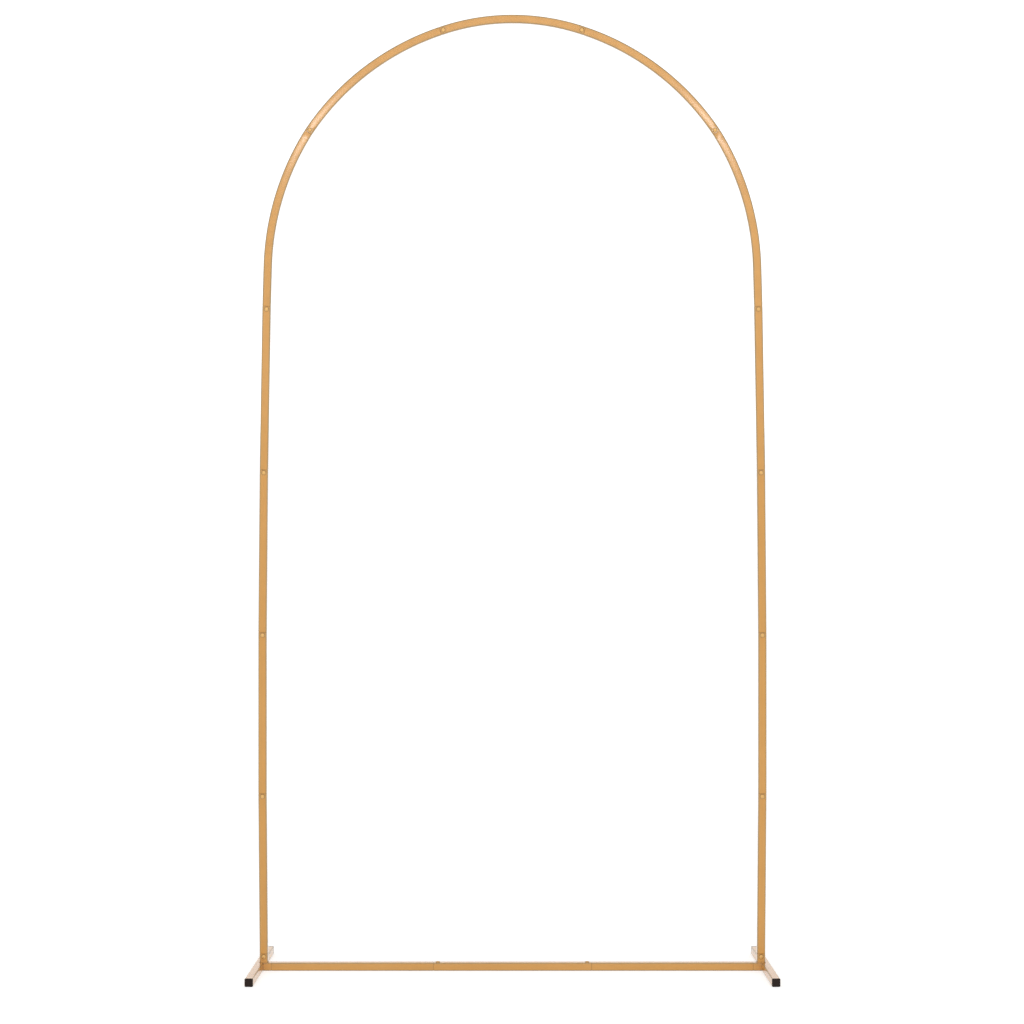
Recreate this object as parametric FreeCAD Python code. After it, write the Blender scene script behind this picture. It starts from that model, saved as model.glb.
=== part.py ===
import FreeCAD, Part
import math
import os
from FreeCAD import Placement, Rotation, Vector

# Wedding arch of square steel tube: two welded corner feet, a base bar of three
# tubes, two posts of four tubes and a round top of five bent tubes, plugged together
# with necked ends. Sprung snap buttons hold all but the outer joints of the base bar.
# Millimetres. X runs along the base bar, the front is towards -Y, +Z is up, and the
# origin lies on the floor, midway between the posts.

# Square tube
tube_size = 16.5
tube_wall = 0.8
tube_corner = 2.0

# Plug joint: a necked end in the open end of the next tube
spigot_length = 16.0
spigot_clearance = 0.3
spigot_lead = 0.6
shoulder_rise = 1.2
shoulder_break = 0.5
seam_gap = 0.25

# Snap button on a sprung leaf inside the necked end
button_diameter = 8.4
button_inset = 5.5
bar_button_inset = 8.5
button_proud = 1.8
button_edge = 0.8
button_hole_clearance = 0.2
button_sides = 12
leaf_width = 8.0
leaf_thickness = 0.6
leaf_end_gap = 1.2

# Posts, leaning a little further in from tube to tube
post_tube_length = 326.2
post_tube_count = 4
post_stub_height = 18.0
base_lean = -0.15
lean_step = 0.47

# Round top, from the crown down to the straight leg of each shoulder
crown_radius = 442.4
crown_half_angle = 18.8
crown_joint_angle = -0.4
haunch_radius = 510.6
haunch_bend_angle = 37.7
shoulder_joint_angle = 1.5
shoulder_radius = 527.5
shoulder_bend_angle = 30.5
shoulder_leg_length = 79.0

# Base
base_bar_middle_length = 319.0
bar_stub_length = 17.0
foot_length = 306.0
foot_toe_angle = 3.15
foot_offset = 9.3

# Plastic end cap of a foot
cap_head = 4.0
cap_edge = 0.8
cap_plug_length = 12.0
cap_plug_core = 10.5
cap_fin_count = 3
cap_fin_thickness = 1.2
cap_fin_clearance = 0.1

# Sides that one corner of the tube is drawn in, few enough to keep the facets down
round_corner_sides = 3
cut_corner_sides = 1
sharp_corner_sides = 0

# Worked out from the sizes above
bore_size = tube_size - 2 * tube_wall
bore_corner = max(tube_corner - tube_wall, tube_wall / 4)
spigot_size = bore_size - 2 * spigot_clearance
spigot_bore = spigot_size - 2 * tube_wall
spigot_bore_corner = max(bore_corner - tube_wall, tube_wall / 4)
nose_size = tube_size - 2 * shoulder_break
nose_corner = max(tube_corner - shoulder_break, tube_wall / 4)
cap_face_corner = max(tube_corner - cap_edge, tube_wall / 4)
neck_root = seam_gap + tube_wall
overcut = tube_wall
base_level = tube_size / 2

ORIGIN = Vector(0, 0, 0)
X_AXIS = Vector(1, 0, 0)
Y_AXIS = Vector(0, 1, 0)
Z_AXIS = Vector(0, 0, 1)


def outline(size, corner, sides):
    """Square wire centred on the origin and facing +Z, with each corner drawn in a few sides."""
    half = size / 2
    reach = half - corner
    spots = [Vector(half, half, 0)]
    if sides:
        turns = [math.pi / 2 * step / sides for step in range(sides + 1)]
        rounds = [Vector(math.cos(turn), math.sin(turn), 0) for turn in turns]
        spots = [Vector(reach, reach, 0) + corner * spot for spot in rounds]
    points = []
    for quarter in range(4):
        points += [Rotation(Z_AXIS, 90 * quarter).multVec(spot) for spot in spots]
    return Part.makePolygon(points + points[:1])


def placed(shape, frame):
    result = shape.copy()
    result.Placement = frame.multiply(result.Placement)
    return result


def mirrored(shape):
    return shape.mirror(ORIGIN, X_AXIS)


def raised(height):
    """Frame at a height on the Z axis."""
    return Placement(Vector(0, 0, height), Rotation())


def on_bend(radius, angle):
    """Frame on a bend about the Y axis, at an angle from straight up, with Z running on."""
    turn = math.radians(angle)
    point = Vector(radius * math.sin(turn), 0, radius * math.cos(turn))
    return Placement(point, Rotation(Y_AXIS, angle + 90))


def degrees_of(length, radius):
    """Angle that a length takes up on a bend."""
    return math.degrees(length / radius)


def straight_run(wire, low, high):
    """Straight bar along Z."""
    return Part.Face(placed(wire, raised(low))).extrude(Vector(0, 0, high - low))


def bent_run(wire, radius, start, end):
    """Bar bent about the Y axis, between two angles from straight up."""
    return Part.Face(placed(wire, on_bend(radius, start))).revolve(ORIGIN, Y_AXIS, end - start)


def flat_sided(near, far):
    """Solid between two like rings of points, each side a flat face."""
    faces = [Part.Face(Part.makePolygon(ring + ring[:1])) for ring in (near, far)]
    for first in range(len(near)):
        second = (first + 1) % len(near)
        side = [near[first], near[second], far[second], far[first], near[first]]
        faces.append(Part.Face(Part.makePolygon(side)))
    return Part.makeSolid(Part.makeShell(faces))


def straight_taper(small, low, large, high):
    rings = [placed(small, raised(low)), placed(large, raised(high))]
    near, far = [[corner.Point for corner in ring.OrderedVertexes] for ring in rings]
    return flat_sided(near, far)


def bent_taper(small, small_frame, large, large_frame):
    return Part.makeLoft([placed(small, small_frame), placed(large, large_frame)], True, True)


def straight_bore(low, high):
    return straight_run(outline(bore_size, bore_corner, cut_corner_sides), low, high)


def bent_bore(radius, start, end):
    return bent_run(outline(bore_size, 0, sharp_corner_sides), radius, start, end)


def shouldered_run(length):
    """Solid straight tube body whose lower end narrows to a nose at z = 0."""
    full = outline(tube_size, tube_corner, round_corner_sides)
    nose = outline(nose_size, nose_corner, round_corner_sides)
    shoulder = straight_taper(nose, 0, full, shoulder_rise)
    return straight_run(full, shoulder_rise, length).fuse(shoulder)


def shouldered_bend(radius, start, end):
    """Solid bent tube body whose upper end narrows to a nose."""
    full = outline(tube_size, tube_corner, round_corner_sides)
    nose = outline(nose_size, nose_corner, round_corner_sides)
    rise = start + degrees_of(shoulder_rise, radius)
    shoulder = bent_taper(nose, on_bend(radius, start), full, on_bend(radius, rise))
    return bent_run(full, radius, rise, end).fuse(shoulder)


def spigot():
    """Neck and its bore, in the frame of the mouth that it enters from above."""
    wire = outline(spigot_size, bore_corner, cut_corner_sides)
    tip = outline(spigot_size - spigot_lead, bore_corner, cut_corner_sides)
    lead = straight_taper(tip, -spigot_length, wire, -spigot_length + spigot_lead)
    neck = straight_run(wire, -spigot_length + spigot_lead, neck_root).fuse(lead)
    inside = outline(spigot_bore, spigot_bore_corner, cut_corner_sides)
    return neck, straight_run(inside, -spigot_length - overcut, neck_root + overcut)


def bent_spigot(radius, mouth):
    """The same for the lower end of a bent tube, on that tube's own bend."""
    wire = outline(spigot_size, bore_corner, cut_corner_sides)
    tip = outline(spigot_size - spigot_lead, bore_corner, cut_corner_sides)
    deep = mouth - degrees_of(spigot_length, radius)
    full = deep + degrees_of(spigot_lead, radius)
    root = mouth + degrees_of(neck_root, radius)
    past = degrees_of(overcut, radius)
    lead = bent_taper(tip, on_bend(radius, deep), wire, on_bend(radius, full))
    neck = bent_run(wire, radius, full, root).fuse(lead)
    inside = outline(spigot_bore, spigot_bore_corner, cut_corner_sides)
    return neck, bent_run(inside, radius, deep - past, root + past)


def button_ring(diameter, depth, inset):
    """Corners of the many-sided button in the frame of a mouth, at a depth along -Y."""
    radius = diameter / 2 / math.cos(math.pi / button_sides)
    turns = [2 * math.pi * (corner + 0.5) / button_sides for corner in range(button_sides)]
    return [Vector(radius * math.cos(turn), -depth, radius * math.sin(turn) - inset) for turn in turns]


def button_hole(mouth, inset=button_inset):
    """Hole through one wall of a socket and of the neck in it."""
    diameter = button_diameter + 2 * button_hole_clearance
    outside = button_ring(diameter, tube_size / 2 + overcut, inset)
    return placed(flat_sided(button_ring(diameter, 0, inset), outside), mouth)


def snap_clip(mouth, inset=button_inset):
    """Button on a V-shaped leaf spring that presses on both walls of the neck."""
    wall = spigot_bore / 2
    face = tube_size / 2 + button_proud
    rim = button_ring(button_diameter, face - button_edge, inset)
    stem = flat_sided(button_ring(button_diameter, wall - leaf_thickness / 2, inset), rim)
    dome = flat_sided(rim, button_ring(button_diameter - 2 * button_edge, face, inset))
    tip = -leaf_end_gap
    heel = -spigot_length + leaf_end_gap
    profile = [
        Vector(-leaf_width / 2, -wall, tip),
        Vector(-leaf_width / 2, -wall, heel),
        Vector(-leaf_width / 2, -wall + leaf_thickness, heel),
        Vector(-leaf_width / 2, wall, tip - leaf_thickness),
        Vector(-leaf_width / 2, wall, tip),
        Vector(-leaf_width / 2, -wall + leaf_thickness, heel + 2 * leaf_thickness),
        Vector(-leaf_width / 2, -wall + leaf_thickness, tip),
    ]
    leaf = Part.Face(Part.makePolygon(profile + profile[:1])).extrude(Vector(leaf_width, 0, 0))
    return placed(stem.fuse(dome).fuse(leaf).removeSplitter(), mouth)


def leaning(point, lean):
    """Frame at a point whose Z axis leans towards -X by an angle."""
    return Placement(point, Rotation(Y_AXIS, -lean))


def ahead(frame, distance):
    """Frame moved along its own Z axis."""
    return frame.multiply(raised(distance))


def plugged_tube(start, length, mouth):
    """Straight tube that plugs into a mouth and is open at its own far end."""
    neck, neck_bore = spigot()
    shell = placed(shouldered_run(length), start).fuse(placed(neck, mouth))
    shell = shell.cut(placed(straight_bore(tube_wall, length + overcut), start))
    return shell.cut(placed(neck_bore, mouth))


def climb(foot_x):
    """Frames of the right post: where each tube starts, and the mouths from the stub up."""
    mouth = leaning(Vector(foot_x, 0, tube_size + post_stub_height), 0)
    mouths = [mouth]
    starts = []
    for number in range(post_tube_count):
        start = leaning(ahead(mouth, seam_gap).Base, base_lean + number * lean_step)
        mouth = ahead(start, post_tube_length)
        starts.append(start)
        mouths.append(mouth)
    return starts, mouths


def next_bend(centre, radius, end, joint_angle, next_radius):
    """Start angle and centre of the bent tube that follows past a seam."""
    seam = ahead(on_bend(radius, end), seam_gap).Base
    start = end + joint_angle
    return start, centre + seam - on_bend(next_radius, start).Base


# Centres of the bends, measured from the crown's centre
haunch_start, haunch_centre = next_bend(
    ORIGIN, crown_radius, crown_half_angle, crown_joint_angle, haunch_radius
)
haunch_end = haunch_start + haunch_bend_angle
shoulder_start, shoulder_centre = next_bend(
    haunch_centre, haunch_radius, haunch_end, shoulder_joint_angle, shoulder_radius
)
shoulder_end = shoulder_start + shoulder_bend_angle
leg_foot = shoulder_centre + ahead(on_bend(shoulder_radius, shoulder_end), shoulder_leg_length).Base

# The posts stand under the arch's legs, and the arch sits on the posts
post_top = ahead(climb(0)[1][-1], seam_gap).Base
post_x = leg_foot.x - post_top.x
post_starts, post_mouths = climb(post_x)
crown_centre = Placement(Vector(0, 0, post_top.z - leg_foot.z), Rotation())
haunch_frame = crown_centre.multiply(Placement(haunch_centre, Rotation()))
shoulder_frame = crown_centre.multiply(Placement(shoulder_centre, Rotation()))
leg_frame = leaning(crown_centre.Base + leg_foot, 90 - shoulder_end)
crown_mouth = crown_centre.multiply(on_bend(crown_radius, crown_half_angle))
haunch_mouth = haunch_frame.multiply(on_bend(haunch_radius, haunch_end))

# The foot stands outboard of the post, and the side bars fill what the other pieces leave
foot_toe = Rotation(Z_AXIS, foot_toe_angle)
foot_frame = Placement(Vector(post_x + foot_offset, 0, base_level), foot_toe.multiply(Rotation(X_AXIS, -90)))
foot_inner_x = post_x + foot_offset - tube_size / 2 / math.cos(math.radians(foot_toe_angle))
side_bar_mouth_x = foot_inner_x - bar_stub_length - seam_gap
side_bar_length = side_bar_mouth_x - seam_gap - base_bar_middle_length / 2


def on_bar(x):
    """Frame on the base bar, with Z pointing away from the middle of the arch."""
    return Placement(Vector(x, 0, base_level), Rotation(Y_AXIS, 90))


# The two buttons of the base bar point upwards
button_upwards = Placement(ORIGIN, Rotation(Z_AXIS, -90))
middle_bar_mouth = on_bar(base_bar_middle_length / 2).multiply(button_upwards)
side_bar_mouth = on_bar(side_bar_mouth_x)


def crown():
    """Top tube of the arch, open at both ends."""
    full = outline(tube_size, tube_corner, round_corner_sides)
    past = crown_half_angle + degrees_of(overcut, crown_radius)
    shell = bent_run(full, crown_radius, -crown_half_angle, crown_half_angle)
    shell = placed(shell.cut(bent_bore(crown_radius, -past, past)), crown_centre)
    hole = button_hole(crown_mouth)
    return shell.cut(hole).cut(mirrored(hole))


def haunch():
    """Bent tube beside the crown: necked above and open below."""
    web = degrees_of(tube_wall, haunch_radius)
    past = degrees_of(overcut, haunch_radius)
    neck, neck_bore = bent_spigot(crown_radius, crown_half_angle)
    shell = placed(shouldered_bend(haunch_radius, haunch_start, haunch_end), haunch_frame)
    shell = shell.fuse(placed(neck, crown_centre))
    shell = shell.cut(placed(bent_bore(haunch_radius, haunch_start + web, haunch_end + past), haunch_frame))
    shell = shell.cut(placed(neck_bore, crown_centre))
    return shell.cut(button_hole(crown_mouth)).cut(button_hole(haunch_mouth))


def shoulder():
    """Bent tube that plugs up into the haunch, with a leg that plugs down into the post."""
    web = degrees_of(tube_wall, shoulder_radius)
    neck, neck_bore = bent_spigot(haunch_radius, haunch_end)
    leg_neck, leg_neck_bore = spigot()
    post_mouth = post_mouths[-1]
    shell = placed(shouldered_bend(shoulder_radius, shoulder_start, shoulder_end), shoulder_frame)
    shell = shell.fuse(placed(shouldered_run(shoulder_leg_length), leg_frame))
    shell = shell.fuse(placed(neck, haunch_frame)).fuse(placed(leg_neck, post_mouth))
    bore = placed(bent_bore(shoulder_radius, shoulder_start + web, shoulder_end), shoulder_frame)
    leg_bore = straight_run(outline(bore_size, 0, sharp_corner_sides), tube_wall, shoulder_leg_length)
    bore = bore.fuse(placed(leg_bore, leg_frame))
    shell = shell.cut(bore)
    shell = shell.cut(placed(neck_bore, haunch_frame)).cut(placed(leg_neck_bore, post_mouth))
    return shell.cut(button_hole(post_mouth)).cut(button_hole(haunch_mouth)).removeSplitter()


def foot():
    """Floor tube across the end of the base bar."""
    half = foot_length / 2 - cap_head
    shell = straight_run(outline(tube_size, tube_corner, round_corner_sides), -half, half)
    return placed(shell.cut(straight_bore(-half - overcut, half + overcut)), foot_frame)


def foot_cap(way):
    """Plastic cap with a finned plug that grips the bore of the foot, at its back or front."""
    full = outline(tube_size, tube_corner, round_corner_sides)
    face = outline(tube_size - 2 * cap_edge, cap_face_corner, round_corner_sides)
    cap = straight_run(full, 0, cap_head - cap_edge)
    cap = cap.fuse(straight_taper(full, cap_head - cap_edge, face, cap_head))
    cap = cap.fuse(straight_run(outline(cap_plug_core, bore_corner, cut_corner_sides), -cap_plug_length, 0))
    fin = outline(bore_size - 2 * cap_fin_clearance, bore_corner, cut_corner_sides)
    for number in range(cap_fin_count):
        low = -cap_plug_length + number * cap_plug_length / cap_fin_count
        cap = cap.fuse(straight_run(fin, low, low + cap_fin_thickness))
    turned = Placement(ORIGIN, Rotation(X_AXIS, 0 if way == "back" else 180))
    seat = turned.multiply(raised(foot_length / 2 - cap_head))
    return placed(cap, foot_frame.multiply(seat))


def post_stub():
    """Short socket welded upright, astride the foot and the stub of the bar."""
    stub = straight_run(outline(tube_size, tube_corner, round_corner_sides), 0, post_stub_height)
    stub = stub.cut(straight_bore(-overcut, post_stub_height + overcut))
    stub.translate(Vector(post_x, 0, tube_size))
    return stub.cut(button_hole(post_mouths[0]))


def post_tube(number):
    """One tube of the post, counted from below."""
    tube = plugged_tube(post_starts[number], post_tube_length, post_mouths[number])
    return tube.cut(button_hole(post_mouths[number])).cut(button_hole(post_mouths[number + 1]))


def base_bar_middle():
    """Middle tube of the base bar, open at both ends."""
    full = outline(tube_size, tube_corner, round_corner_sides)
    shell = straight_run(full, 0, base_bar_middle_length)
    shell = shell.cut(straight_bore(-overcut, base_bar_middle_length + overcut))
    shell = placed(shell, on_bar(-base_bar_middle_length / 2))
    hole = button_hole(middle_bar_mouth, bar_button_inset)
    return shell.cut(hole).cut(mirrored(hole))


def base_bar_side():
    """Side tube of the base bar: necked towards the middle and open towards the foot."""
    tube = plugged_tube(ahead(middle_bar_mouth, seam_gap), side_bar_length, middle_bar_mouth)
    return tube.cut(button_hole(middle_bar_mouth, bar_button_inset))


def bar_stub():
    """Necked stub, cut to the slant of the foot and welded on its inner side."""
    shell = plugged_tube(ahead(side_bar_mouth, seam_gap), bar_stub_length + tube_size, side_bar_mouth)
    beyond = Part.makeBox(4 * tube_size, 2 * tube_size, 4 * tube_size)
    beyond.translate(Vector(-tube_size / 2, -tube_size, -2 * tube_size))
    return shell.cut(placed(beyond, foot_frame))


def save(name, shape):
    if len(shape.Solids) != 1 or not shape.isValid():
        raise ValueError("not one good solid: " + name)
    solid = shape.Solids[0]
    solid.exportStep(os.path.join("parts", name + ".step"))
    return solid.Volume


def save_pair(name, shape):
    """Right piece and its mirror image. The name has a gap for the side."""
    return save(name % "right", shape) + save(name % "left", mirrored(shape))


def build():
    os.makedirs("parts", exist_ok=True)
    volume = save("arch_crown", crown())
    volume += save("base_bar_middle", base_bar_middle())
    pairs = {
        "%s_arch_haunch": haunch(),
        "%s_arch_shoulder": shoulder(),
        "%s_foot": foot(),
        "%s_post_stub": post_stub(),
        "%s_bar_stub": bar_stub(),
        "base_bar_%s": base_bar_side(),
        "%s_crown_snap": snap_clip(crown_mouth),
        "%s_haunch_snap": snap_clip(haunch_mouth),
        "%s_bar_snap": snap_clip(middle_bar_mouth, bar_button_inset),
        "%s_foot_front_cap": foot_cap("front"),
        "%s_foot_back_cap": foot_cap("back"),
    }
    for number in range(post_tube_count):
        pairs["%s_post_tube_" + str(number + 1)] = post_tube(number)
    for number, mouth in enumerate(post_mouths):
        pairs["%s_post_snap_" + str(number + 1)] = snap_clip(mouth)
    for name, shape in pairs.items():
        volume += save_pair(name, shape)
    height = crown_centre.Base.z + crown_radius + tube_size / 2
    print("height %.1f, post centre at the base %.1f" % (height, post_x))
    print("side bar %.1f long, volume of the solids %.1f cm3" % (side_bar_length, volume / 1000))


build()
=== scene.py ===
import math

import bmesh
import bpy
from mathutils import Matrix, Vector, noise


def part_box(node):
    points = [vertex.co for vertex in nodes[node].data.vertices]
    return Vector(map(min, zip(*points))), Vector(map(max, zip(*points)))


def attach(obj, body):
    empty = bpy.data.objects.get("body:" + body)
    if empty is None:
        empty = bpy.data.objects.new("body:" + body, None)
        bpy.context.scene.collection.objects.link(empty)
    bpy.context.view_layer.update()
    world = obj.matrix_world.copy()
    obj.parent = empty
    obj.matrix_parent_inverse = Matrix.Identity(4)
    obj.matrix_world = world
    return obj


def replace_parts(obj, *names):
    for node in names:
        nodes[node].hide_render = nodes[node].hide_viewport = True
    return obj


# Looks of the wedding arch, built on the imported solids.
# Metres and degrees. X runs along the base bar, the front is towards -Y and +Z is up.

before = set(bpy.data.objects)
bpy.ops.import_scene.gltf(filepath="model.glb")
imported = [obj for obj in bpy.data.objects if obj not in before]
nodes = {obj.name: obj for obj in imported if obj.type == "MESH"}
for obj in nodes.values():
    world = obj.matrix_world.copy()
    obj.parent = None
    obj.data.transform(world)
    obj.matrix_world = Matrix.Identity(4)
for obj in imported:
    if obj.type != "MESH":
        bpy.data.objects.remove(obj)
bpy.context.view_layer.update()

forwards = Vector((0, -1, 0))
upwards = Vector((0, 0, 1))


def rgb(red, green, blue):
    return (red, green, blue, 1.0)


# Camera of the photograph
camera_lens = 102.76
camera_sensor = 36.0
camera_place = Vector((-0.0009, -5.846, 1.301))
camera_pitch = 3.64

# Square tube, its necks and feet, and the height of the round top's centre
tube_size = 0.0165
tube_corner = 0.002
neck_length = 0.016
foot_toe_out = 3.15
round_centre = 1.41

# Weld beads. The ripple and the lumps are shares of the radius.
bead_radius = 0.0012
bead_pitch = 0.0019
bead_ripple = 0.16
bead_lumps = 0.10
bead_lump_scale = 900.0
bead_step = 0.0003
bead_sides = 10
bead_end_share = 0.45
bead_end_steps = 4
bead_corner_steps = 4
bead_steepest = 0.9

# Snap button
button_diameter = 0.0084
button_round = 0.0009
button_round_steps = 6
button_crown = 0.0004
crown_drop_share = 0.25
crown_rim_share = 0.45
crown_tip_share = 0.15
button_segments = 32
button_inset = 0.0055
bar_button_inset = 0.0085
button_face_depth = 0.00005

# Leaf spring that carries the button
leaf_width = 0.008
leaf_thickness = 0.0006
leaf_bend = 0.0012
leaf_bend_angle = 150.0
leaf_bend_steps = 6
leaf_end_gap = 0.0012

# Shading of the meshes
merge_distance = 0.000002
solid_smooth_angle = 33.0
piece_smooth_angle = 40.0

# Gold powder coat
gold_shade = rgb(0.712, 0.342, 0.058)
gold_bright = rgb(0.742, 0.362, 0.069)
gold_grain = rgb(0.62, 0.28, 0.044)
# Painted shade in seams, holes and hollows
gold_seam_shade = rgb(0.20, 0.085, 0.022)
# Painted shade along the tube's long corners
gold_corner_shade = rgb(0.36, 0.275, 0.12)
gold_chip = rgb(0.40, 0.28, 0.17)
cloud_scale = 9.0
grain_scale = 2600.0
grain_share = 0.35
grain_bump = (0.12, 0.00006)
peel_scale = 520.0
peel_bump = (0.10, 0.0002)
satin_scale = 60.0
gold_roughness = (0.38, 0.48)
chip_scale = 240.0
chip_roughness = 0.2
# Painted shade in the seams: its reach, and its strength on tubes and on welds
seam_shade_reach = 0.002
# Painted shade along the corners: its reach, and its strength on tubes and on welds
corner_shade_reach = 0.0026
tube_corner_shade_share = 0.90
tube_seam_shade_share = 0.9
weld_corner_shade_share = 0.2
weld_seam_shade_share = 0.1
gold_metallic = 0.4
coat_roughness = 0.11
coat_index = 1.5

# Plated steel of the buttons
steel_bright = rgb(0.735, 0.455, 0.178)
steel_stained = rgb(0.655, 0.39, 0.142)
steel_grain_scale = 3200.0
steel_grain_bump = (0.08, 0.00004)
steel_roughness = (0.34, 0.46)
stain_scale = 420.0

# Black plastic of the caps
plastic_black = rgb(0.019, 0.009, 0.005)
plastic_dusty = rgb(0.032, 0.018, 0.012)
plastic_worn = rgb(0.05, 0.045, 0.035)
plastic_roughness = (0.42, 0.58)
skin_scale = 1500.0
skin_bump = (0.25, 0.00006)
dust_scale = 260.0
dust_share = 0.6
wear_share = 0.35
wear_reach = 0.0010
plastic_specular = 0.22

# Studio floor and surround
white = rgb(1, 1, 1)
floor_reach = 30.0
floor_albedo = 0.8
floor_glow = 0.6
room_light = 1.54
side_start = 0.10
side_full = 0.70
side_dimming = 0.8
top_start = 0.3
top_full = 0.9
top_dimming = 0.78
rear_start = 0.3
rear_full = 0.9
rear_dimming = 0.3

# Lamps whose sheen shows on the crown and on both shoulders
lamp_depth = -5.85
crown_lamp_height = 2.45
crown_lamp_aim = 1.9
crown_lamp_size = (1.3, 0.35)
crown_lamp_power = 0.8
shoulder_lamp_side = 0.80
shoulder_lamp_height = 2.085
shoulder_aim_side = 0.40
shoulder_lamp_aim = 1.693
shoulder_lamp_size = (0.28, 0.24)
shoulder_lamp_power = 3.1


# Node trees

class Tree:
    """A node tree that is filled by short calls."""

    def __init__(self, owner):
        owner.use_nodes = True
        self.nodes = owner.node_tree.nodes
        self.links = owner.node_tree.links
        self.nodes.clear()

    def add(self, kind, inputs=None, **settings):
        """New node. An input is a value, or the output socket that feeds it."""
        node = self.nodes.new(kind)
        for name, value in settings.items():
            setattr(node, name, value)
        for name, value in (inputs or {}).items():
            self.set(node.inputs[name], value)
        return node

    def set(self, socket, value):
        if isinstance(value, bpy.types.NodeSocket):
            self.links.new(value, socket)
        else:
            socket.default_value = value

    def math(self, operation, first, second=0.0, clamp=False):
        inputs = {0: first, 1: second}
        return self.add("ShaderNodeMath", inputs, operation=operation, use_clamp=clamp).outputs[0]

    def noise(self, vector, scale, detail=3.0, roughness=0.5):
        inputs = {"Vector": vector, "Scale": scale, "Detail": detail, "Roughness": roughness}
        return self.add("ShaderNodeTexNoise", inputs).outputs["Fac"]

    def span(self, value, low, high, to_low, to_high, smooth=False):
        """The value carried from one range to another, and held at the ends."""
        kind = "SMOOTHSTEP" if smooth else "LINEAR"
        inputs = {"Value": value, "From Min": low, "From Max": high, "To Min": to_low, "To Max": to_high}
        node = self.add("ShaderNodeMapRange", inputs, interpolation_type=kind, clamp=True)
        return node.outputs["Result"]

    def blend(self, share, first, second):
        node = self.add("ShaderNodeMix", data_type="RGBA")
        sockets = [socket for socket in node.inputs if socket.type == "RGBA"]
        self.set(node.inputs[0], share)
        self.set(sockets[0], first)
        self.set(sockets[1], second)
        return next(socket for socket in node.outputs if socket.type == "RGBA")

    def bump(self, height, strength, distance, normal=None):
        inputs = {"Height": height, "Strength": strength, "Distance": distance}
        if normal is not None:
            inputs["Normal"] = normal
        return self.add("ShaderNodeBump", inputs).outputs["Normal"]

    def finish(self, shader, kind="ShaderNodeOutputMaterial"):
        self.add(kind, {"Surface": shader})


def edge_share(tree, radius):
    """How near a point is to an edge, from 0 on a flat to 1."""
    bevel = tree.add("ShaderNodeBevel", {"Radius": radius}, samples=4)
    true_normal = tree.add("ShaderNodeNewGeometry").outputs["Normal"]
    inputs = {0: bevel.outputs["Normal"], 1: true_normal}
    likeness = tree.add("ShaderNodeVectorMath", inputs, operation="DOT_PRODUCT").outputs["Value"]
    return tree.span(likeness, 1.0, 0.86, 0.0, 1.0)


def corner_share(tree, place, radius):
    """How far a point is turned round a tube's long corner, from 0 on its flat sides to 1 halfway."""
    bevel = tree.add("ShaderNodeBevel", {"Radius": radius}, samples=6).outputs["Normal"]
    normal = tree.add("ShaderNodeSeparateXYZ", {0: bevel}).outputs
    spot = tree.add("ShaderNodeSeparateXYZ", {0: place}).outputs
    rise = tree.math("MAXIMUM", tree.math("SUBTRACT", spot["Z"], round_centre), 0.0)
    outwards = tree.add("ShaderNodeCombineXYZ", {"X": spot["X"], "Z": rise}).outputs[0]
    outwards = tree.add("ShaderNodeVectorMath", {0: outwards}, operation="NORMALIZE").outputs["Vector"]
    inputs = {0: outwards, 1: bevel}
    aside = tree.add("ShaderNodeVectorMath", inputs, operation="DOT_PRODUCT").outputs["Value"]
    upright = tree.math("ABSOLUTE", tree.math("MULTIPLY", aside, normal["Y"]))
    upright = tree.math("MULTIPLY", upright, tree.math("GREATER_THAN", spot["Z"], tube_size))
    level = tree.math("MAXIMUM", tree.math("ABSOLUTE", normal["X"]), tree.math("ABSOLUTE", normal["Y"]))
    level = tree.math("MULTIPLY", level, tree.math("ABSOLUTE", normal["Z"]))
    level = tree.math("MULTIPLY", level, tree.math("LESS_THAN", spot["Z"], tube_size))
    return tree.math("MULTIPLY", 2.0, tree.math("MAXIMUM", upright, level), clamp=True)


# Materials

def gold_paint(name, corner_shade_share, seam_shade_share):
    """Gold powder coat with a satin clear layer, with painted shade along a tube's long corners and in
    its seams and hollows.
    """
    material = bpy.data.materials.new(name)
    tree = Tree(material)
    place = tree.add("ShaderNodeTexCoord").outputs["Object"]
    cloud = tree.noise(place, cloud_scale, 2.0)
    grain = tree.noise(place, grain_scale, 2.0, 0.6)
    peel = tree.noise(place, peel_scale, 2.0, 0.5)
    colour = tree.blend(tree.span(cloud, 0.35, 0.65, 0.0, 1.0), gold_shade, gold_bright)
    colour = tree.blend(tree.span(grain, 0.35, 0.7, 0.0, grain_share), colour, gold_grain)
    # Painted shade: the colour is darkened where ambient occlusion finds a seam, a hole or a hollow
    hollow_occlusion = tree.add("ShaderNodeAmbientOcclusion", {"Distance": seam_shade_reach}, samples=6).outputs["AO"]
    colour = tree.blend(tree.span(hollow_occlusion, 0.4, 0.97, seam_shade_share, 0.0), colour, gold_seam_shade)
    # Painted shade along the long corners, strongest halfway round each corner; the same mask also places
    # the chips below
    edge = corner_share(tree, place, corner_shade_reach)
    colour = tree.blend(tree.math("MULTIPLY", edge, corner_shade_share), colour, gold_corner_shade)
    flake = tree.span(tree.noise(place, chip_scale, 4.0, 0.65), 0.60, 0.68, 0.0, 1.0)
    chip = tree.math("MULTIPLY", edge, flake)
    colour = tree.blend(chip, colour, gold_chip)
    roughness = tree.span(tree.noise(place, satin_scale, 3.0), 0.3, 0.7, *gold_roughness)
    roughness = tree.math("ADD", roughness, tree.math("MULTIPLY", chip, chip_roughness))
    normal = tree.bump(grain, *grain_bump)
    normal = tree.bump(peel, *peel_bump, normal)
    shader = tree.add("ShaderNodeBsdfPrincipled", {
        "Base Color": colour,
        "Metallic": gold_metallic,
        "Roughness": roughness,
        "Normal": normal,
        "Coat Weight": 1.0,
        "Coat Roughness": coat_roughness,
        "Coat IOR": coat_index,
    })
    tree.finish(shader.outputs[0])
    return material


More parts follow.
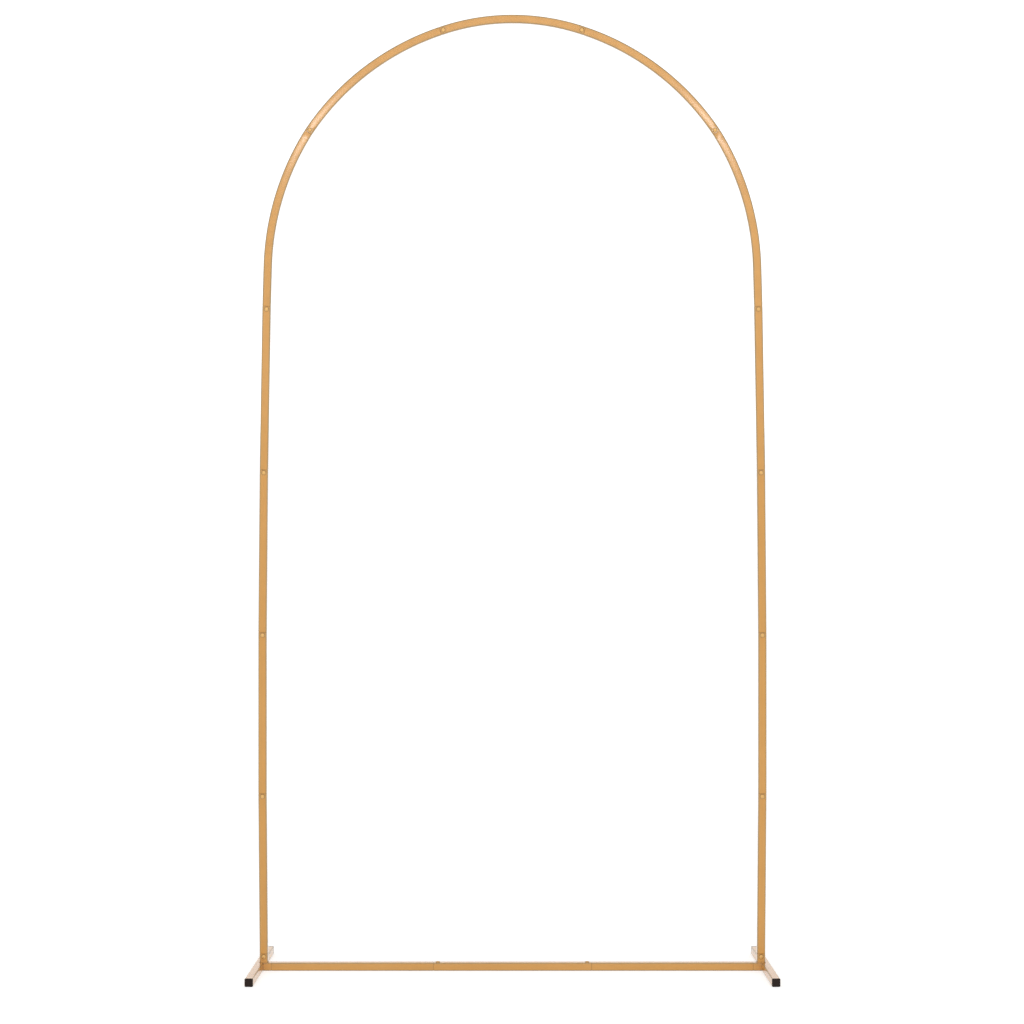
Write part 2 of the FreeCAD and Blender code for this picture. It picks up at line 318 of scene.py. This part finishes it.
def button_steel():
    """Yellow-plated spring steel."""
    material = bpy.data.materials.new("button_steel_plated")
    tree = Tree(material)
    place = tree.add("ShaderNodeTexCoord").outputs["Object"]
    grain = tree.noise(place, steel_grain_scale, 2.0, 0.6)
    stain = tree.noise(place, stain_scale, 3.0)
    colour = tree.blend(tree.span(stain, 0.3, 0.7, 0.0, 1.0), steel_bright, steel_stained)
    roughness = tree.span(grain, 0.3, 0.7, *steel_roughness)
    normal = tree.bump(grain, *steel_grain_bump)
    shader = tree.add("ShaderNodeBsdfPrincipled", {
        "Base Color": colour,
        "Metallic": 1.0,
        "Roughness": roughness,
        "Normal": normal,
    })
    tree.finish(shader.outputs[0])
    return material


def black_plastic():
    """Moulded black plastic with a fine leather-like skin."""
    material = bpy.data.materials.new("black_plastic_moulded")
    tree = Tree(material)
    place = tree.add("ShaderNodeTexCoord").outputs["Object"]
    cells = tree.add("ShaderNodeTexVoronoi", {"Vector": place, "Scale": skin_scale}, feature="SMOOTH_F1")
    dust = tree.noise(place, dust_scale, 4.0, 0.6)
    edge = edge_share(tree, wear_reach)
    colour = tree.blend(tree.span(dust, 0.45, 0.75, 0.0, dust_share), plastic_black, plastic_dusty)
    colour = tree.blend(tree.math("MULTIPLY", edge, wear_share), colour, plastic_worn)
    roughness = tree.span(dust, 0.3, 0.7, *plastic_roughness)
    normal = tree.bump(cells.outputs["Distance"], *skin_bump)
    shader = tree.add("ShaderNodeBsdfPrincipled", {
        "Base Color": colour,
        "Roughness": roughness,
        "Normal": normal,
        "Specular IOR Level": plastic_specular,
    })
    tree.finish(shader.outputs[0])
    return material


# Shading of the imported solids

def soft_shading():
    """Modifier tree that welds a mesh and smooths the turns under a limit."""
    group = bpy.data.node_groups.new("soft_shading", "GeometryNodeTree")
    group.interface.new_socket("Geometry", in_out="INPUT", socket_type="NodeSocketGeometry")
    group.interface.new_socket("Geometry", in_out="OUTPUT", socket_type="NodeSocketGeometry")
    start = group.nodes.new("NodeGroupInput")
    end = group.nodes.new("NodeGroupOutput")
    merge = group.nodes.new("GeometryNodeMergeByDistance")
    merge.inputs["Distance"].default_value = merge_distance
    angle = group.nodes.new("GeometryNodeInputMeshEdgeAngle")
    limit = group.nodes.new("FunctionNodeCompare")
    limit.data_type = "FLOAT"
    limit.operation = "GREATER_THAN"
    limit.inputs[1].default_value = math.radians(solid_smooth_angle)
    sharp = group.nodes.new("GeometryNodeSetMeshNormal")
    sharp.mode = "SHARPNESS"
    group.links.new(start.outputs[0], merge.inputs["Geometry"])
    group.links.new(merge.outputs[0], sharp.inputs["Mesh"])
    group.links.new(angle.outputs["Unsigned Angle"], limit.inputs[0])
    group.links.new(limit.outputs[0], sharp.inputs["Edge Sharpness"])
    sharp.inputs["Remove Custom"].default_value = True
    group.links.new(sharp.outputs[0], end.inputs[0])
    return group


# Pieces

def piece(name, mesh_code, material):
    """Object from a bmesh that rides on the arch."""
    mesh = bpy.data.meshes.new(name)
    bmesh.ops.recalc_face_normals(mesh_code, faces=mesh_code.faces)
    mesh_code.to_mesh(mesh)
    mesh_code.free()
    mesh.materials.append(material)
    mesh.shade_smooth()
    mesh.set_sharp_from_angle(angle=math.radians(piece_smooth_angle))
    result = bpy.data.objects.new(name, mesh)
    bpy.context.scene.collection.objects.link(result)
    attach(result, "root")
    return result


def snap_frame(node, facing, level):
    """Frame on the tube's axis behind a button: -Y runs out through the button and Z along the neck."""
    corners = [vertex.co for vertex in nodes[node].data.vertices]
    depths = [facing.dot(corner) - level for corner in corners]
    face = max(depths) - button_face_depth
    rear = min(depths) + button_face_depth
    front = [corner for corner, depth in zip(corners, depths) if depth > face]
    back = [corner for corner, depth in zip(corners, depths) if depth < rear]
    button = sum(front, Vector()) / len(front)
    run = sum(back, Vector()) / len(back) - button
    along = (run - run.dot(facing) * facing).normalized()
    turn = Matrix((along.cross(facing), -facing, along)).transposed().to_4x4()
    axis = button - max(depths) * facing
    return Matrix.Translation(axis) @ turn, max(depths), -min(depths)


def add_revolved(mesh, profile, frame_of, segments):
    """Closed solid of revolution about -Y, from a profile of (radius, depth in front)."""
    rings = []
    for radius, depth in profile:
        ring = []
        for step in range(segments):
            turn = 2 * math.pi * step / segments
            spot = Vector((radius * math.cos(turn), -depth, radius * math.sin(turn)))
            ring.append(mesh.verts.new(frame_of @ spot))
        rings.append(ring)
    for before, after in zip(rings, rings[1:]):
        for step in range(segments):
            following = (step + 1) % segments
            mesh.faces.new((before[step], before[following], after[following], after[step]))
    mesh.faces.new(rings[0])
    mesh.faces.new(rings[-1])


def add_strip(mesh, centre_line, thickness, width, frame_of):
    """Closed bent strip: a centre line of (y, z) points, thick across the line and wide along X."""
    sides = []
    for number, (y, z) in enumerate(centre_line):
        before = centre_line[max(number - 1, 0)]
        after = centre_line[min(number + 1, len(centre_line) - 1)]
        run = Vector((after[0] - before[0], after[1] - before[1])).normalized()
        off = Vector((run.y, -run.x)) * thickness / 2
        spots = [
            (-width / 2, y + off.x, z + off.y), (width / 2, y + off.x, z + off.y),
            (width / 2, y - off.x, z - off.y), (-width / 2, y - off.x, z - off.y),
        ]
        sides.append([mesh.verts.new(frame_of @ Vector(spot)) for spot in spots])
    for before, after in zip(sides, sides[1:]):
        for step in range(4):
            following = (step + 1) % 4
            mesh.faces.new((before[step], before[following], after[following], after[step]))
    mesh.faces.new(sides[0])
    mesh.faces.new(sides[-1])


def button_profile(root, face):
    """Side of the domed button, from the leaf out to its tip."""
    radius = button_diameter / 2
    rim = face - button_crown
    points = [(radius, root)]
    for step in range(button_round_steps + 1):
        turn = math.pi / 2 * step / button_round_steps
        inner = radius - button_round + button_round * math.cos(turn)
        points.append((inner, rim - button_round + button_round * math.sin(turn)))
    points.append((radius * crown_rim_share, face - button_crown * crown_drop_share))
    points.append((radius * crown_tip_share, face))
    return points


def leaf_line(wall, tip, heel):
    """Centre line of the leaf: down the front wall, round the heel and across to the back wall."""
    front = -wall + leaf_thickness / 2
    line = [(front, tip), (front, heel + leaf_bend)]
    for step in range(1, leaf_bend_steps + 1):
        turn = math.radians(leaf_bend_angle) * step / leaf_bend_steps
        y = front + leaf_bend - leaf_bend * math.cos(turn)
        line.append((y, heel + leaf_bend - leaf_bend * math.sin(turn)))
    line.append((wall - leaf_thickness / 2, tip))
    return line


def snap(node, facing, level, inset, material):
    """Domed button riveted on its V-shaped leaf."""
    place, face, wall = snap_frame(node, facing, level)
    mesh = bmesh.new()
    add_revolved(mesh, button_profile(wall - leaf_thickness / 2, face), place, button_segments)
    tip = inset - leaf_end_gap - leaf_thickness
    heel = inset - neck_length + leaf_end_gap
    add_strip(mesh, leaf_line(wall, tip, heel), leaf_thickness, leaf_width, place)
    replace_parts(piece(node + "_button", mesh, material), node)


def rounded_loop(low, high, level, corner):
    """Points round an upright box at a level, with its rounded corners."""
    points = []
    centres = (
        (high.x - corner, high.y - corner), (low.x + corner, high.y - corner),
        (low.x + corner, low.y + corner), (high.x - corner, low.y + corner),
    )
    for quarter, (x, y) in enumerate(centres):
        for step in range(bead_corner_steps + 1):
            turn = math.pi / 2 * (quarter + step / bead_corner_steps)
            points.append(Vector((x + corner * math.cos(turn), y + corner * math.sin(turn), level)))
    return points


def even_points(path, closed, gap):
    """The same path in short even steps."""
    spots = path + path[:1] if closed else path
    points = []
    for before, after in zip(spots, spots[1:]):
        count = max(1, round((after - before).length / gap))
        points += [before.lerp(after, step / count) for step in range(count)]
    return points if closed else points + [spots[-1]]


def add_bead(mesh, path, closed):
    """Rippled weld bead along a path. An open one is thinner at its ends."""
    points = even_points(path, closed, bead_step)
    count = len(points)
    rings = []
    run = 0.0
    for number, point in enumerate(points):
        after = points[(number + 1) % count] if closed else points[min(number + 1, count - 1)]
        before = points[number - 1] if closed else points[max(number - 1, 0)]
        tangent = (after - before).normalized()
        run += (point - before).length if number else 0.0
        ripple = abs(math.cos(math.pi * run / bead_pitch))
        lumps = noise.noise(point * bead_lump_scale)
        radius = bead_radius * (1.0 - bead_ripple * ripple + bead_lumps * lumps)
        if not closed:
            from_end = min(number, count - 1 - number) / bead_end_steps
            radius *= min(1.0, bead_end_share + (1.0 - bead_end_share) * from_end)
        steep = abs(tangent.z) > bead_steepest
        side = tangent.orthogonal().normalized() if steep else tangent.cross(upwards).normalized()
        up = side.cross(tangent)
        ring = []
        for step in range(bead_sides):
            turn = 2 * math.pi * step / bead_sides
            offset = math.cos(turn) * side + math.sin(turn) * up
            ring.append(mesh.verts.new(point + radius * offset))
        rings.append(ring)
    pairs = list(zip(rings, rings[1:])) + ([(rings[-1], rings[0])] if closed else [])
    for before, after in pairs:
        for step in range(bead_sides):
            following = (step + 1) % bead_sides
            mesh.faces.new((before[step], before[following], after[following], after[step]))
    if not closed:
        mesh.faces.new(rings[0])
        mesh.faces.new(rings[-1])


def corner_welds(side, sign, material):
    """Beads round the base of the post's stub, and up the corners between the bar's stub and the foot."""
    mesh = bmesh.new()
    low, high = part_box(side + "_post_stub")
    add_bead(mesh, rounded_loop(low, high, low.z, tube_corner), True)
    low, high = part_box(side + "_bar_stub")
    end = high.x if sign > 0 else low.x
    slant = sign * (high.y - low.y) * math.tan(math.radians(foot_toe_out))
    for x, y in ((end, low.y), (end - slant, high.y)):
        add_bead(mesh, [Vector((x, y, tube_corner)), Vector((x, y, high.z - tube_corner))], False)
    piece(side + "_corner_welds", mesh, material)


# Scene

def surround():
    """World that is white to the eye, and lights the arch less from the sides, above and behind."""
    world = bpy.data.worlds.new("studio")
    bpy.context.scene.world = world
    tree = Tree(world)
    rays = tree.add("ShaderNodeLightPath").outputs
    direction = tree.add("ShaderNodeTexCoord").outputs["Generated"]
    split = tree.add("ShaderNodeSeparateXYZ", {0: direction}).outputs
    aside = tree.math("ABSOLUTE", split["X"])
    aside = tree.span(aside, side_start, side_full, 0.0, side_dimming, smooth=True)
    above = tree.span(split["Z"], top_start, top_full, 0.0, top_dimming, smooth=True)
    behind = tree.span(split["Y"], rear_start, rear_full, 0.0, rear_dimming, smooth=True)
    level = tree.math("SUBTRACT", room_light, aside)
    level = tree.math("SUBTRACT", level, tree.math("ADD", above, behind))
    seen = tree.math("MAXIMUM", rays["Is Camera Ray"], rays["Is Transmission Ray"])
    strength = tree.math("MAXIMUM", seen, level)
    background = tree.add("ShaderNodeBackground", {"Color": white, "Strength": strength})
    tree.finish(background.outputs[0], "ShaderNodeOutputWorld")


def floor_white():
    """Matt white floor that keeps the arch's shadow and glows to the eye and in reflections."""
    material = bpy.data.materials.new("floor_white")
    tree = Tree(material)
    rays = tree.add("ShaderNodeLightPath").outputs
    shown = tree.math("MAXIMUM", rays["Is Glossy Ray"], rays["Is Transmission Ray"])
    shown = tree.math("MAXIMUM", rays["Is Camera Ray"], shown)
    paper = tree.add("ShaderNodeBsdfDiffuse", {"Color": rgb(floor_albedo, floor_albedo, floor_albedo)})
    strength = tree.math("MULTIPLY", shown, floor_glow)
    glow = tree.add("ShaderNodeEmission", {"Color": white, "Strength": strength})
    both = tree.add("ShaderNodeAddShader", {0: paper.outputs[0], 1: glow.outputs[0]})
    tree.finish(both.outputs[0])
    return material


def add_floor():
    mesh = bmesh.new()
    corners = []
    for side, depth in ((-1, -1), (1, -1), (1, 1), (-1, 1)):
        corners.append(mesh.verts.new((side * floor_reach, depth * floor_reach, 0)))
    mesh.faces.new(corners)
    floor_mesh = bpy.data.meshes.new("floor")
    mesh.to_mesh(floor_mesh)
    mesh.free()
    floor_mesh.materials.append(floor_white())
    floor = bpy.data.objects.new("floor", floor_mesh)
    bpy.context.scene.collection.objects.link(floor)


def lamp(name, place, aim, size, power):
    """Soft box that lights the arch but isn't seen itself."""
    light = bpy.data.lights.new(name, "AREA")
    light.shape = "RECTANGLE"
    light.size, light.size_y = size
    light.energy = power
    result = bpy.data.objects.new(name, light)
    result.location = place
    result.rotation_euler = (Vector(aim) - Vector(place)).to_track_quat("-Z", "Y").to_euler()
    result.visible_camera = False
    bpy.context.scene.collection.objects.link(result)


def camera():
    data = bpy.data.cameras.new("camera")
    data.lens = camera_lens
    data.sensor_width = camera_sensor
    result = bpy.data.objects.new("camera", data)
    result.location = camera_place
    result.rotation_euler = (math.radians(90.0 - camera_pitch), 0.0, 0.0)
    bpy.context.scene.collection.objects.link(result)
    bpy.context.scene.camera = result


finishes = {
    "gold_paint": gold_paint("gold_paint_coated", tube_corner_shade_share, tube_seam_shade_share),
    "button_steel": button_steel(),
    "black_plastic": black_plastic(),
}
weld_paint = gold_paint("gold_paint_on_weld", weld_corner_shade_share, weld_seam_shade_share)
shading = soft_shading()
for name, node in nodes.items():
    for place in node.material_slots:
        place.material = finishes[place.material.name.split(".")[0]]
    node.modifiers.new("soft_shading", "NODES").node_group = shading
    weighted = node.modifiers.new("flat_faces", "WEIGHTED_NORMAL")
    weighted.keep_sharp = True

for name in sorted(nodes):
    if name.endswith("_bar_snap"):
        snap(name, upwards, tube_size / 2, bar_button_inset, finishes["button_steel"])
    elif "_snap" in name:
        snap(name, forwards, 0.0, button_inset, finishes["button_steel"])
corner_welds("left", -1, weld_paint)
corner_welds("right", 1, weld_paint)

surround()
add_floor()
crown_aim = (0, 0, crown_lamp_aim)
lamp("crown_sheen", (0.0, lamp_depth, crown_lamp_height), crown_aim, crown_lamp_size, crown_lamp_power)
for sign in (-1, 1):
    place = (shoulder_lamp_side * sign, lamp_depth, shoulder_lamp_height)
    aim = (shoulder_aim_side * sign, 0, shoulder_lamp_aim)
    lamp("shoulder_sheen", place, aim, shoulder_lamp_size, shoulder_lamp_power)
camera()

scene = bpy.context.scene
scene.view_settings.view_transform = "Standard"
